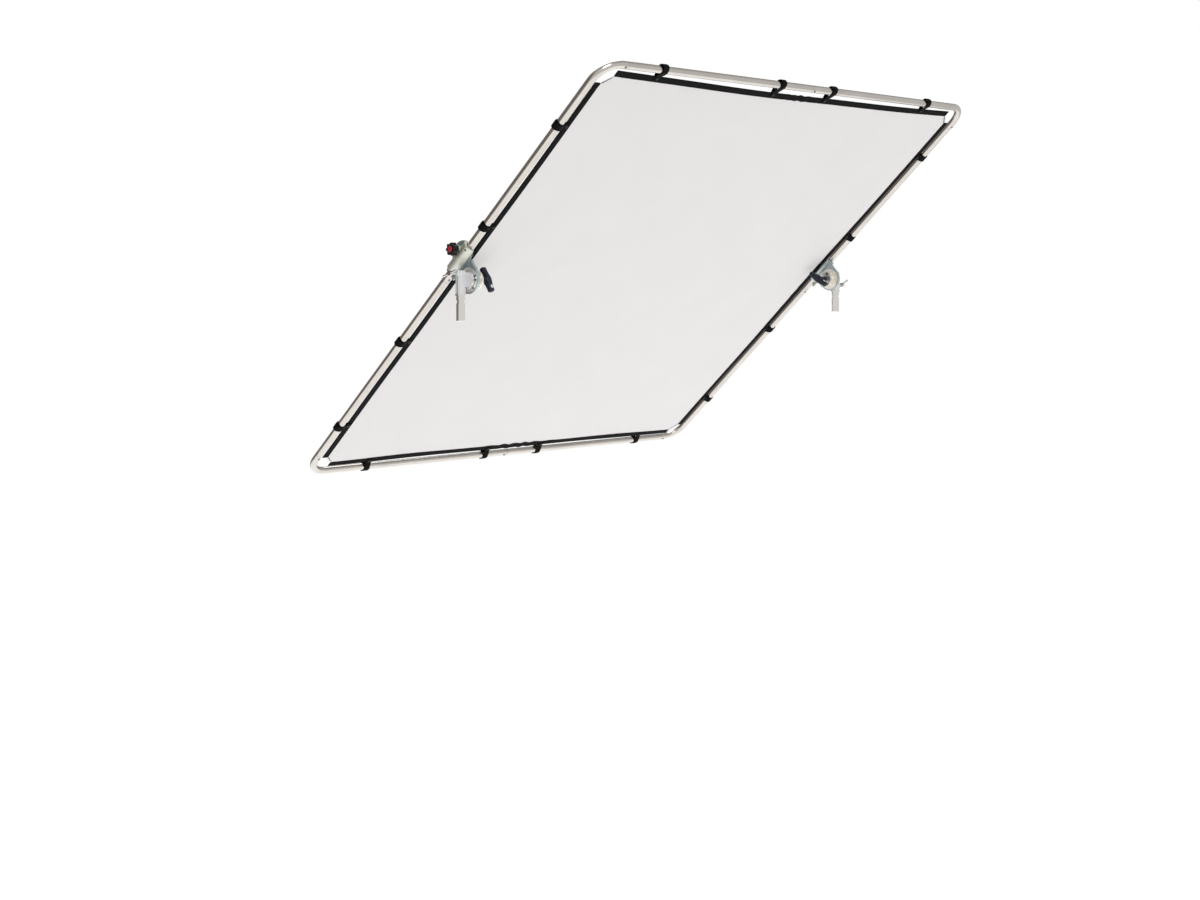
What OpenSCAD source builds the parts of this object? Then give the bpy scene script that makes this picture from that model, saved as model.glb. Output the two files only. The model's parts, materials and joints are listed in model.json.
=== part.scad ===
// Two metre diffusion scrim on a jointed tube frame, held by a pair of tilt heads.
// The origin is the middle of the frame. X runs along the tilt axis from the left head
// to the right one, and Z is up. The frame stands upright in the XZ plane in its own
// modules and is then leaned back about X by tilt.

/* [Frame] */
// Outside width of the tube frame
frame_w = 2000; // [1400:10:2400]
// Outside height of the tube frame
frame_h = 2000; // [1400:10:2400]
// Outside diameter of the frame tube
tube_d = 25; // [22:0.5:32]
// Wall of the frame tube
tube_wall = 1.5; // [1:0.1:2]
// Radius of the corner bend on the tube's centre line
bend_r = 75; // [60:1:80]
// Distance from the crossing of two centre lines to the corner joint
corner_joint = 100; // [98:1:140]
// Distance of the middle joint from the middle of its side
mid_joint = 25; // [0:1:45]
// Gap that shows between two tube ends
joint_gap = 0.8; // [0.4:0.1:1.5]
// Lean of the frame from upright
tilt = 47.7; // [0:0.1:90]

/* [Joint sleeves and snap buttons] */
// Wall of the sleeve inside a joint
sleeve_wall = 2; // [1.5:0.1:2.5]
// Length of sleeve inside the straight tube
sleeve_in = 50; // [40:1:80]
// Diameter of a snap button
button_d = 8; // [6:0.5:9]
// Height of a snap button above the tube
button_proud = 2.5; // [1.5:0.1:3]
// Distance of a snap button from the tube end
button_in = 13; // [12:0.5:16]

/* [Fabric] */
// Distance from the tube's centre line to the outer edge of the hem
hem_gap = 27.5; // [24:0.5:34]
// Width of the hem
hem_w = 24; // [18:1:34]
// Thickness of the hem
hem_t = 4; // [3:0.5:6]
// Thickness of the diffusion fabric
fabric_t = 1; // [0.8:0.1:2]
// Length of the cut across each fabric corner, along one side
corner_cut = 30; // [20:1:60]
// Diameter of the piping along the cut corner
piping_d = 3; // [2:0.5:4]

/* [Straps] */
// Width of a strap
strap_w = 25; // [18:1:32]
// Thickness of a strap
strap_t = 2; // [1.5:0.1:3]
// Slack between a strap and the top and bottom of the tube
strap_slack = 0.4; // [0.3:0.1:1]
// How far a strap's loop stands off the tube's outer side
strap_ear = 5; // [0:0.5:8]
// Length of a strap's tails along the hem
strap_tail = 16; // [14:1:18]
// Inner strap position on the top and bottom sides, from the middle
strap_mid_h = 143; // [120:1:200]
// Inner strap position on the left and right sides, from the middle
strap_mid_v = 280; // [250:1:400]
// Distance of an outer strap from the corner crossing
strap_end = 260; // [200:1:320]
// Diameter of the press stud on a strap
stud_d = 11; // [8:0.5:13]

/* [Tilt heads] */
// Distance of the tilt axis from the frame's plane
pivot_n = 64; // [60:1:90]
// Height of the tilt axis on the side tube, from its middle
pivot_v = 98; // [90:1:130]
// Distance of the stand's axis outboard of the side tube's centre line
stand_out = 21; // [21:0.5:30]
// Radius of the plate round the tilt axis
plate_r = 46; // [40:1:48]
// Thickness of the plate
plate_t = 9.5; // [8:0.5:10]
// Length of the plate's saddle below the tilt axis
saddle_below = 48; // [40:1:60]
// Length of the plate's saddle above the tilt axis
saddle_above = 66; // [60:1:74]
// Wall of the saddle and jaw castings
cast_wall = 9; // [7:0.5:10]
// Thickness of the rubber pads on the tube
pad_t = 1.5; // [1:0.1:2.5]
// Length of the clamp jaw
jaw_len = 112; // [90:1:130]
// Height of the jaw's middle above the tilt axis
jaw_up = 36; // [20:1:40]
// Height of the clamp bolt above the tilt axis
bolt_up = 52; // [40:1:54]
// Diameter of the clamp bolt
bolt_d = 10; // [8:1:12]
// Diameter of the clamp knob
knob_d = 45; // [36:1:50]
// Height of the clamp knob
knob_h = 24; // [20:1:30]
// Diameter of the tilt pivot
pivot_d = 12; // [10:0.5:14]
// Radius of the tilt hub's flange
hub_r = 30; // [28:1:34]
// Length of the tilt hub with its flange
hub_len = 30; // [24:1:36]
// Length of the tilt handle's grip
grip_len = 90; // [70:1:96]
// Largest diameter of the tilt handle's grip
grip_d = 24; // [20:1:28]

/* [Stand sockets] */
// Diameter of the stand spigot
spigot_d = 28.5; // [28:0.1:30]
// Length of the stand spigot below its collar
spigot_len = 82; // [70:1:100]
// Diameter of the bore for a smaller stand pin
pin_bore_d = 16.2; // [14:0.1:17]
// Diameter of the socket block
block_d = 30; // [28:1:40]
// Height of the socket block above the tilt axis
block_top = 30; // [28:1:34]
// Depth of the socket block below the tilt axis
block_low = 45; // [42:1:56]
// Radius of the socket's friction flange
flange_r = 31; // [28:1:34]
// Distance of the lock screw's bar from the stand's axis
lock_reach = 45; // [38:1:60]
// Length of the bar on the lock screw
bar_len = 60; // [50:1:80]

/* [Hidden] */

$fn = 64;
eps = 0.01;

// Centre lines of the frame
cl_w = frame_w - tube_d;
cl_h = frame_h - tube_d;
tube_r = tube_d / 2;
tube_in_r = tube_r - tube_wall;

// Sleeves and buttons
sleeve_fit = 0.1;
sleeve_r = tube_in_r - sleeve_fit;
sleeve_in_r = sleeve_r - sleeve_wall;
sleeve_short = corner_joint - bend_r - 1;
button_r = button_d / 2;
button_fit = 0.08;
button_lip = 1.5;
button_lip_t = 1.2;
button_travel = 3;
lip_top = sqrt(pow(sleeve_in_r, 2) - pow(button_r + button_lip, 2)) - 0.2;
leaf_w = 6;
leaf_t = 0.5;
leaf_len = 30;

// Straps
strap_in_r = tube_r + strap_slack;
strap_neck = hem_t / 2 + 0.2 + strap_t;
stud_r = stud_d / 2;
stud_t = 2;

// Places across a head, as distances outboard from the frame's middle plane
tube_x = cl_w / 2;
split = 1;
pad_fit = 0.3;
pad_in_r = tube_r + pad_fit;
pad_out_r = pad_in_r + pad_t;
cast_in_r = pad_out_r + 0.1;
cast_r = cast_in_r + cast_wall;
plate_in_x = tube_x - cast_r + 2;
plate_out_x = plate_in_x + plate_t;
ring_t = 2;
ring_fit = 0.1;
flange_t = 11;
flange_in_x = plate_out_x + ring_t;
block_in_x = flange_in_x + flange_t;
stand_x = max(tube_x + stand_out, block_in_x + block_d / 2);
hub_in_x = plate_in_x - hub_len;
hub_flange_t = 6;
hub_drum_r = 22;
hub_boss_r = 5;
hub_hole_r = 2.6;
hub_screw_ring = hub_r - 5.5;
handle_boss_r = 11;
handle_boss_len = 34;
grip_x = hub_in_x - handle_boss_len - grip_d / 2 + 4;
run_fit = 0.05;

// Clamp bolt, dowels and jaw
bolt_r = bolt_d / 2;
bolt_y = tube_r + bolt_r + 4.5;
bolt_z = pivot_v + bolt_up;
ear_r = 14;
dowel_r = 3;
dowel_y = -(cast_in_r + 4.7);
dowel_z = [pivot_v - 6, pivot_v + 42];
jaw_mid = pivot_v + jaw_up;
jaw_face_x = tube_x + cast_r;
jaw_fan_r = 52;
jaw_fan_y = -10;
knob_x = jaw_face_x + 2;
knob_lobes = 7;
cap_r = 9.5;
cap_t = 3.5;

// Tilt axis where the frame is leaned
pivot_y_world = -pivot_n * cos(tilt) - pivot_v * sin(tilt);
pivot_z_world = -pivot_n * sin(tilt) + pivot_v * cos(tilt);

// Socket and spigot, measured from the tilt axis
stem_r = pin_bore_d / 2 + 2.9;
collar_r = spigot_d / 2 + 3;
collar_t = 6;
groove_d = 24;
groove_w = 10;
groove_drop = 14;
lock_r = 5;
lock_boss_r = 8;
neck_w = 22;
neck_h = 48;
rib_r = 1.2;
rib_count = 12;
bar_r = 3;
ball_r = 4.5;

// Left and right heads: handle and bar angles at rest, and the lock screw's height
grip_turn = [-30, -58];
bar_turn = [72, 55];
lock_z = [21.5, -24];
function side_of(s) = s < 0 ? 0 : 1;

// A side of the frame: 0 top, 1 right, 2 bottom, 3 left. X runs clockwise along it.
function side_len(k) = k % 2 == 0 ? cl_w : cl_h;
function side_off(k) = k % 2 == 0 ? cl_h / 2 : cl_w / 2;
module lean() rotate([tilt, 0, 0]) children();
module on_side(k) lean() rotate([0, 90 * k, 0]) translate([0, 0, side_off(k)]) children();
module along_x() rotate([0, 90, 0]) children();
module along_y() rotate([-90, 0, 0]) children();

module ring_2d(r_out, r_in) {
  difference() {
    circle(r_out);
    circle(r_in);
  }
}

// Hole for a snap button through the face of the frame that looks down
module button_hole(x) {
  translate([x, 0, 0]) rotate([90, 0, 0]) cylinder(r = button_r + button_fit, h = tube_d);
}

// ---- Frame tubes ----
module elbow_tube(k) {
  half = side_len(k) / 2;
  difference() {
    union() {
      translate([mid_joint + joint_gap / 2, 0, 0]) along_x()
        linear_extrude(half - bend_r - mid_joint - joint_gap / 2) ring_2d(tube_r, tube_in_r);
      translate([half - bend_r, 0, -bend_r]) rotate([90, 0, 0]) rotate_extrude(angle = 90)
        translate([bend_r, 0]) ring_2d(tube_r, tube_in_r);
      translate([half, 0, -corner_joint + joint_gap / 2])
        linear_extrude(corner_joint - bend_r - joint_gap / 2) ring_2d(tube_r, tube_in_r);
    }
    button_hole(mid_joint + button_in);
    translate([half, 0, -corner_joint]) rotate([0, -90, 0]) button_hole(button_in);
  }
}

module straight_tube(k) {
  start = -side_len(k) / 2 + corner_joint + joint_gap / 2;
  translate([start, 0, 0]) along_x()
    linear_extrude(mid_joint - joint_gap / 2 - start) ring_2d(tube_r, tube_in_r);
}

// Sleeve along X with its joint at zero and its button on the positive side
module sleeve(long, short) {
  difference() {
    translate([-long, 0, 0]) along_x() linear_extrude(long + short) ring_2d(sleeve_r, sleeve_in_r);
    button_hole(button_in);
  }
}

module joint_sleeves() {
  color("darkgray") for (k = [0:3]) on_side(k) {
    translate([mid_joint, 0, 0]) sleeve(sleeve_in, sleeve_in);
    translate([-side_len(k) / 2 + corner_joint, 0, 0]) mirror([1, 0, 0]) sleeve(sleeve_in, sleeve_short);
  }
}

// Button on its leaf spring, pointing to the underside of the frame
module snap_button() {
  rotate([90, 0, 0]) {
    translate([0, 0, lip_top - button_lip_t]) cylinder(r = button_r + button_lip, h = button_lip_t);
    translate([0, 0, lip_top - eps]) cylinder(r = button_r, h = tube_r + button_proud - 1 - lip_top);
    translate([0, 0, tube_r + button_proud - 1 - 2 * eps]) rotate_extrude()
      polygon([[0, 0], [button_r, 0], [button_r, 0.3], [button_r - 1, 1], [0, 1]]);
    translate([-leaf_len + button_r, -leaf_w / 2, lip_top - button_lip_t - leaf_t + eps])
      cube([leaf_len, leaf_w, leaf_t]);
    translate([-leaf_len + button_r, -leaf_w / 2, lip_top - button_lip_t - 4])
      cube([leaf_t, leaf_w, 4]);
  }
}
module corner_button(k) {
  color("silver") on_side(k) translate([-side_len(k) / 2 + corner_joint, 0, 0]) mirror([1, 0, 0])
    translate([button_in, 0, 0]) snap_button();
}
module mid_button(k) {
  color("silver") on_side(k) translate([mid_joint + button_in, 0, 0]) snap_button();
}

// ---- Fabric, hems and straps ----
hem_off = hem_gap + hem_w / 2;
hem_end = hem_gap + hem_w + corner_cut - 2;
fabric_w = cl_w - 2 * (hem_gap + hem_w);
fabric_h = cl_h - 2 * (hem_gap + hem_w);

module diffusion_fabric() {
  a = fabric_w / 2;
  b = fabric_h / 2;
  c = corner_cut;
  color("white") lean() translate([0, fabric_t / 2, 0]) rotate([90, 0, 0]) linear_extrude(fabric_t)
    polygon([[a - c, b], [a, b - c], [a, c - b], [a - c, -b], [c - a, -b], [-a, c - b],
             [-a, b - c], [c - a, b]]);
}

module hem(k) {
  len = side_len(k) - 2 * hem_end;
  color([0.05, 0.05, 0.06]) on_side(k)
    translate([-len / 2, -hem_t / 2, -hem_gap - hem_w]) cube([len, hem_t, hem_w]);
}

// Round piping sewn on the cut corner, clear of the fabric's edge by a hair
module corner_piping() {
  long = corner_cut * sqrt(2) - 4;
  out = piping_d / 2 / sqrt(2);
  color([0.05, 0.05, 0.06]) for (sx = [-1, 1], sz = [-1, 1]) lean()
    translate([sx * (fabric_w / 2 - corner_cut / 2 + out), 0, sz * (fabric_h / 2 - corner_cut / 2 + out)])
      rotate([0, sx * sz * 45, 0]) translate([-long / 2, 0, 0]) along_x() cylinder(d = piping_d, h = long);
}

// Outline of a loop round the tube, in the plane across it: arcs about the tube whose
// outer half stands off by strap_ear, then two tails that close in on the hem
function arc_pts(r, x, from, to) =
  [for (i = [0:8]) let (t = from + (to - from) * i / 8) [r * cos(t) + x, r * sin(t)]];
function loop_pts(r, neck, end) =
  let (a = acos((r - neck) / hem_gap))
  concat(arc_pts(r, 0, a, 90), arc_pts(r, -strap_ear, 90, 180), arc_pts(r, -strap_ear, 202.5, 270),
         arc_pts(r, 0, 270, 360 - a), [[hem_gap, -neck], [end, -neck], [end, neck], [hem_gap, neck]]);

module strap_loop() {
  end = hem_gap + strap_tail;
  rotate([90, 0, 90]) translate([0, 0, -strap_w / 2]) linear_extrude(strap_w) rotate(-90) difference() {
    polygon(loop_pts(strap_in_r + strap_t, strap_neck, end));
    polygon(loop_pts(strap_in_r, strap_neck - strap_t, end + 1));
  }
}
function strap_places(k) =
  let (m = k % 2 == 0 ? strap_mid_h : strap_mid_v, e = side_len(k) / 2 - strap_end) [-e, -m, m, e];

module straps(k) {
  color([0.07, 0.07, 0.08]) on_side(k) for (x = strap_places(k)) translate([x, 0, 0]) strap_loop();
}

module strap_studs() {
  color("dimgray") for (k = [0:3]) on_side(k) for (x = strap_places(k))
    translate([x, -strap_neck - stud_t, -hem_gap - strap_tail / 2]) along_y()
      cylinder(r = stud_r, h = stud_t);
}

// ---- Tilt heads ----
// Built outboard along +X and mirrored to the left side. The right clamp is the left one
// turned upside down on its tube, about the tilt axis.
module head(s) mirror([s < 0 ? 1 : 0, 0, 0]) children();
module on_tube(s) head(s) lean() translate([0, 0, s < 0 ? 0 : 2 * pivot_v])
  mirror([0, 0, s < 0 ? 0 : 1]) children();
module at_pivot(s) head(s) translate([0, pivot_y_world, pivot_z_world]) children();
module pivot_in_frame() translate([0, -pivot_n, pivot_v]) children();

module half_shell(r_out, r_in, z0, z1, out) {
  intersection() {
    translate([tube_x, 0, z0]) linear_extrude(z1 - z0) ring_2d(r_out, r_in);
    translate([out > 0 ? tube_x + split : tube_x - split - 2 * r_out, -r_out - 1, z0 - 1])
      cube([2 * r_out, 2 * r_out + 2, z1 - z0 + 2]);
  }
}

module main_plate(s) {
  z0 = pivot_v - saddle_below;
  z1 = pivot_v + saddle_above;
  color([0.62, 0.68, 0.66]) on_tube(s) difference() {
    union() {
      half_shell(cast_r, cast_in_r, z0, z1, -1);
      translate([plate_in_x, -pivot_n, z0 + 2])
        cube([plate_t, pivot_n - cast_in_r + 1, saddle_below + plate_r + 2]);
      translate([plate_in_x, 0, 0]) pivot_in_frame() along_x() cylinder(r = plate_r, h = plate_t);
      translate([plate_in_x, bolt_y, bolt_z]) along_x()
        cylinder(r = ear_r, h = tube_x - split - plate_in_x);
    }
    translate([tube_x, 0, z0 - 1]) cylinder(r = cast_in_r, h = z1 - z0 + 2);
    translate([plate_in_x - 5, 0, 0]) pivot_in_frame() along_x()
      cylinder(r = pivot_d / 2 + run_fit, h = plate_t + 10);
    translate([plate_in_x - 5, bolt_y, bolt_z]) along_x()
      cylinder(r = bolt_r + run_fit, h = cast_r + 10);
    for (z = dowel_z) translate([plate_in_x - 5, dowel_y, z]) along_x()
      cylinder(r = dowel_r + run_fit, h = cast_r + 10);
  }
}

module plate_pad(s) {
  color([0.1, 0.1, 0.1]) on_tube(s)
    half_shell(pad_out_r, pad_in_r, pivot_v - saddle_below + 3, pivot_v + saddle_above - 3, -1);
}

module clamp_jaw(s) {
  z0 = jaw_mid - jaw_len / 2;
  z1 = jaw_mid + jaw_len / 2;
  fan_t = 7;
  color([0.70, 0.72, 0.66]) on_tube(s) {
    difference() {
      union() {
        half_shell(cast_r, cast_in_r, z0, z1, 1);
        intersection() {
          translate([tube_x + split + 4, jaw_fan_y, bolt_z]) along_x() cylinder(r = jaw_fan_r, h = fan_t);
          translate([tube_x, cast_in_r - 2, z0]) cube([cast_r, jaw_fan_r, z1 - z0]);
        }
        translate([tube_x + split, bolt_y, bolt_z]) along_x() cylinder(r = ear_r, h = cast_r - split);
      }
      translate([tube_x, 0, z0 - 1]) cylinder(r = cast_in_r, h = z1 - z0 + 2);
      translate([tube_x - 5, bolt_y, bolt_z]) along_x() cylinder(r = bolt_r + run_fit, h = cast_r + 20);
    }
    for (z = dowel_z) translate([tube_x - cast_r / 2, dowel_y, z]) along_x()
      cylinder(r = dowel_r, h = cast_r / 2 + split + 6);
  }
}

module jaw_pad(s) {
  color([0.1, 0.1, 0.1]) on_tube(s)
    half_shell(pad_out_r, pad_in_r, jaw_mid - jaw_len / 2 + 3, jaw_mid + jaw_len / 2 - 3, 1);
}

module clamp_bolt(s) {
  color("silver") on_tube(s) translate([tube_x - cast_r, bolt_y, bolt_z]) along_x()
    cylinder(r = bolt_r, h = knob_x + knob_h - 4 - tube_x + cast_r);
}

module clamp_knob(s) {
  lobe_r = knob_d * 0.15;
  color([0.04, 0.04, 0.05]) on_tube(s) translate([knob_x, bolt_y, bolt_z]) along_x() difference() {
    union() {
      translate([0, 0, -2]) cylinder(r = knob_d * 0.27, h = 3);
      cylinder(r = knob_d / 2 - lobe_r * 0.8, h = knob_h);
      for (i = [0:knob_lobes - 1]) rotate(i * 360 / knob_lobes)
        translate([knob_d / 2 - lobe_r, 0, 2]) cylinder(r = lobe_r, h = knob_h - 4);
    }
    translate([0, 0, -3]) cylinder(r = bolt_r, h = knob_h - 4 + 3);
  }
}

module knob_cap(s) {
  color([0.75, 0.08, 0.1]) on_tube(s) translate([knob_x + knob_h, bolt_y, bolt_z]) along_x()
    rotate_extrude() polygon([[0, 0], [cap_r, 0], [cap_r, cap_t - 1.5], [cap_r - 1.5, cap_t], [0, cap_t]]);
}

// Places of the three hub screws round the tilt axis
module hub_screw_places() {
  for (i = [0:2]) rotate(i * 120 + 20) translate([hub_screw_ring, 0]) children();
}

module tilt_hub(s) {
  color([0.80, 0.78, 0.70]) on_tube(s) translate([hub_in_x, 0, 0]) pivot_in_frame() along_x() {
    linear_extrude(hub_flange_t) difference() {
      ring_2d(hub_r, pivot_d / 2 + run_fit);
      hub_screw_places() circle(hub_hole_r);
    }
    translate([0, 0, hub_flange_t]) linear_extrude(hub_len - hub_flange_t) difference() {
      union() {
        circle(hub_drum_r);
        hub_screw_places() circle(hub_boss_r);
      }
      circle(pivot_d / 2 + run_fit);
      hub_screw_places() circle(hub_hole_r);
    }
  }
}

module hub_screws(s) {
  head_r = 4.2;
  color("dimgray") on_tube(s) translate([hub_in_x, 0, 0]) pivot_in_frame() along_x()
    hub_screw_places() difference() {
      union() {
        translate([0, 0, -3]) cylinder(r = head_r, h = 3);
        translate([0, 0, -1]) cylinder(r = 2.5, h = hub_len);
      }
      translate([0, 0, -4]) cylinder(r = 2.3, h = 2.5, $fn = 6);
    }
}

// T handle: a round boss on the pivot's thread and a barrel grip across it
module tilt_handle(s) {
  half = grip_len / 2;
  mid = grip_d / 2;
  end = mid - 2.5;
  color([0.03, 0.03, 0.05]) at_pivot(s) rotate([grip_turn[side_of(s)], 0, 0]) difference() {
    union() {
      translate([hub_in_x - handle_boss_len, 0, 0]) along_x()
        cylinder(r = handle_boss_r, h = handle_boss_len);
      translate([grip_x, 0, 0]) rotate_extrude() polygon([[0, -half], [end - 3, -half],
        [end - 0.9, -half + 0.9], [end, -half + 3], [mid, 0], [end, half - 3],
        [end - 0.9, half - 0.9], [end - 3, half], [0, half]]);
    }
    translate([hub_in_x - handle_boss_len + 8, 0, 0]) along_x()
      cylinder(r = pivot_d / 2 + run_fit, h = handle_boss_len);
  }
}

module friction_ring(s) {
  color([0.25, 0.2, 0.17]) at_pivot(s) translate([plate_out_x + ring_fit, 0, 0]) along_x()
    linear_extrude(ring_t - ring_fit) ring_2d(flange_r - 3, pivot_d / 2 + 1);
}

module pivot_bolt(s) {
  far = stand_x - stem_r - 1.5;
  near = hub_in_x - handle_boss_len + 10;
  color("silver") at_pivot(s) translate([near, 0, 0]) along_x() cylinder(r = pivot_d / 2, h = far - near);
}

module socket_block(s) {
  half = block_d / 2;
  color([0.72, 0.73, 0.75]) at_pivot(s) difference() {
    union() {
      translate([stand_x, 0, -block_low]) linear_extrude(block_low + block_top) {
        circle(half);
        for (i = [0:rib_count - 1]) rotate((i + 0.5) * 360 / rib_count) translate([half, 0]) circle(rib_r);
      }
      translate([block_in_x - 1, -neck_w / 2, -neck_h / 2]) cube([stand_x - block_in_x, neck_w, neck_h]);
      translate([flange_in_x, 0, 0]) along_x() cylinder(r = flange_r, h = flange_t);
      translate([stand_x, 0, lock_z[side_of(s)]]) along_x() cylinder(r = lock_boss_r, h = half + 4);
    }
    translate([stand_x, 0, -block_low - 1]) cylinder(r = stem_r, h = block_low + block_top + 2);
    translate([stand_x, 0, lock_z[side_of(s)]]) along_x() cylinder(r = lock_r + run_fit, h = half + 10);
    translate([flange_in_x - 1, 0, 0]) along_x()
      cylinder(r = pivot_d / 2, h = stand_x - stem_r - 1.5 - flange_in_x + 1);
  }
}

module stand_spigot(s) {
  r = spigot_d / 2;
  color("lightgray") at_pivot(s) translate([stand_x, 0, -block_low]) difference() {
    union() {
      cylinder(r = stem_r, h = block_low + block_top);
      translate([0, 0, -collar_t]) cylinder(r = collar_r, h = collar_t);
      translate([0, 0, -collar_t - groove_drop]) cylinder(r = r, h = groove_drop);
      translate([0, 0, -collar_t - groove_drop - groove_w]) cylinder(d = groove_d, h = groove_w);
      translate([0, 0, -collar_t - spigot_len + 2])
        cylinder(r = r, h = spigot_len - groove_drop - groove_w - 2);
      translate([0, 0, -collar_t - spigot_len])
        rotate_extrude() polygon([[0, 0], [r - 2, 0], [r, 2], [0, 2]]);
    }
    translate([0, 0, -collar_t - spigot_len - 1])
      cylinder(d = pin_bore_d, h = spigot_len + collar_t + block_low + block_top + 2);
    translate([0, 0, block_low + lock_z[side_of(s)]]) along_x()
      cylinder(r = lock_r + run_fit, h = stem_r + 5);
  }
}

// Half outline of a bar that ends in balls, from one ball's pole to the other's
function bar_pts() =
  let (a = asin(bar_r / ball_r), n = 10, step = (180 - a) / n, half = bar_len / 2)
  concat([for (i = [n:-1:0]) let (t = a + i * step) [max(0, ball_r * sin(t)), -half + ball_r * cos(t)]],
         [for (i = [0:n]) let (t = a + i * step) [max(0, ball_r * sin(t)), half - ball_r * cos(t)]]);

// T screw with a cross bar that ends in balls
module lock_screw(s) {
  tip = pin_bore_d / 2 + 0.9;
  face = lock_reach - 7;
  color("gainsboro") at_pivot(s) translate([stand_x, 0, lock_z[side_of(s)]]) {
    translate([tip, 0, 0]) along_x() cylinder(r = lock_r, h = face - tip + 1);
    translate([face, 0, 0]) along_x() cylinder(r = 8, h = 12);
    translate([lock_reach, 0, 0]) rotate([bar_turn[side_of(s)], 0, 0]) rotate_extrude() polygon(bar_pts());
  }
}

color("silver") on_side(0) elbow_tube(0);  // elbow_tube_top
color("silver") on_side(1) elbow_tube(1);  // elbow_tube_right
color("silver") on_side(2) elbow_tube(2);  // elbow_tube_bottom
color("silver") on_side(3) elbow_tube(3);  // elbow_tube_left
color("silver") on_side(0) straight_tube(0);  // straight_tube_top
color("silver") on_side(1) straight_tube(1);  // straight_tube_right
color("silver") on_side(2) straight_tube(2);  // straight_tube_bottom
color("silver") on_side(3) straight_tube(3);  // straight_tube_left
joint_sleeves();
corner_button(0);  // corner_button_top
corner_button(1);  // corner_button_right
corner_button(2);  // corner_button_bottom
corner_button(3);  // corner_button_left
mid_button(0);  // mid_button_top
mid_button(1);  // mid_button_right
mid_button(2);  // mid_button_bottom
mid_button(3);  // mid_button_left
diffusion_fabric();
corner_piping();
hem(0);  // hem_top
hem(1);  // hem_right
hem(2);  // hem_bottom
hem(3);  // hem_left
straps(0);  // straps_top
straps(1);  // straps_right
straps(2);  // straps_bottom
straps(3);  // straps_left
strap_studs();
main_plate(-1);  // left_main_plate
plate_pad(-1);  // left_plate_pad
clamp_jaw(-1);  // left_clamp_jaw
jaw_pad(-1);  // left_jaw_pad
clamp_bolt(-1);  // left_clamp_bolt
clamp_knob(-1);  // left_clamp_knob
knob_cap(-1);  // left_knob_cap
tilt_hub(-1);  // left_tilt_hub
hub_screws(-1);  // left_hub_screws
tilt_handle(-1);  // left_tilt_handle
friction_ring(-1);  // left_friction_ring
pivot_bolt(-1);  // left_pivot_bolt
socket_block(-1);  // left_socket_block
stand_spigot(-1);  // left_stand_spigot
lock_screw(-1);  // left_lock_screw
main_plate(1);  // right_main_plate
plate_pad(1);  // right_plate_pad
clamp_jaw(1);  // right_clamp_jaw
jaw_pad(1);  // right_jaw_pad
clamp_bolt(1);  // right_clamp_bolt
clamp_knob(1);  // right_clamp_knob
knob_cap(1);  // right_knob_cap
tilt_hub(1);  // right_tilt_hub
hub_screws(1);  // right_hub_screws
tilt_handle(1);  // right_tilt_handle
friction_ring(1);  // right_friction_ring
pivot_bolt(1);  // right_pivot_bolt
socket_block(1);  // right_socket_block
stand_spigot(1);  // right_stand_spigot
lock_screw(1);  // right_lock_screw
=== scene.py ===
import json
import math

import bmesh
import bpy
import numpy as np
from mathutils import Matrix, Vector


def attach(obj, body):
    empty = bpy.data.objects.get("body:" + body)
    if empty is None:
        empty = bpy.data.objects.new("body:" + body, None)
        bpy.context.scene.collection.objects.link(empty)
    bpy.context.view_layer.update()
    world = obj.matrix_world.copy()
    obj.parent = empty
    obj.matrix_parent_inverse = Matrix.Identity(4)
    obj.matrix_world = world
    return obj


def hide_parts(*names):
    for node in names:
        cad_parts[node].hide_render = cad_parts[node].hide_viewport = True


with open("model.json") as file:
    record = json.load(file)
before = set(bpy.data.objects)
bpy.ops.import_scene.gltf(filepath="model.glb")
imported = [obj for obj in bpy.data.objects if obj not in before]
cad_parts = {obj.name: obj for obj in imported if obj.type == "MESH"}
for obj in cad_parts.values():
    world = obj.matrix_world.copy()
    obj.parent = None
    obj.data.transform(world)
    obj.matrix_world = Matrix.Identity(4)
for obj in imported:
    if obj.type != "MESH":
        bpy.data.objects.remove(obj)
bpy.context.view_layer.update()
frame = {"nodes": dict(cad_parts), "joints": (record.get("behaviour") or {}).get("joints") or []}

# ---- Camera -----------------------------------------------------------------------------
# The frame is seen from the left and from below its leaned back face, by a level camera
# whose picture is shifted down, so that the stands that would carry it have room.
scene = bpy.context.scene
lens = bpy.data.cameras.new("camera")
lens.lens = 52.05
lens.sensor_width = 36
lens.shift_y = -0.1452
lens.clip_end = 100
camera = bpy.data.objects.new("camera", lens)
camera.location = (-4.706, -4.287, 0.0316)
camera.rotation_euler = (math.radians(90), 0, math.radians(-46.146))
scene.collection.objects.link(camera)
scene.camera = camera

# ---- Studio -----------------------------------------------------------------------------
# A white studio sweep lit through from below: a glowing floor where the stands'
# wheels would be, two big soft boxes, and a greyer room that metal picks up.
FLOOR_Z = -1.75
FLOOR_R = 4.5
scene.view_settings.view_transform = "Standard"


def colour(code):
    """Linear colour of an sRGB hex code: each channel over 12.92 where it is dark, and otherwise
    the 2.4 power of its share above the foot."""
    channels = np.array([int(code[i:i + 2], 16) for i in (1, 3, 5)]) / 255
    linear = np.where(channels <= 0.04045, channels / 12.92, ((channels + 0.055) / 1.055) ** 2.4)
    return (*linear.tolist(), 1.0)


def add(tree, kind, inputs=None, **settings):
    """Adds a shader node with its settings, and links or sets each of its inputs."""
    made = tree.nodes.new("ShaderNode" + kind)
    for key, value in settings.items():
        setattr(made, key, value)
    for key, value in (inputs or {}).items():
        if isinstance(value, bpy.types.NodeSocket):
            tree.links.new(value, made.inputs[key])
        else:
            made.inputs[key].default_value = value
    return made


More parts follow.
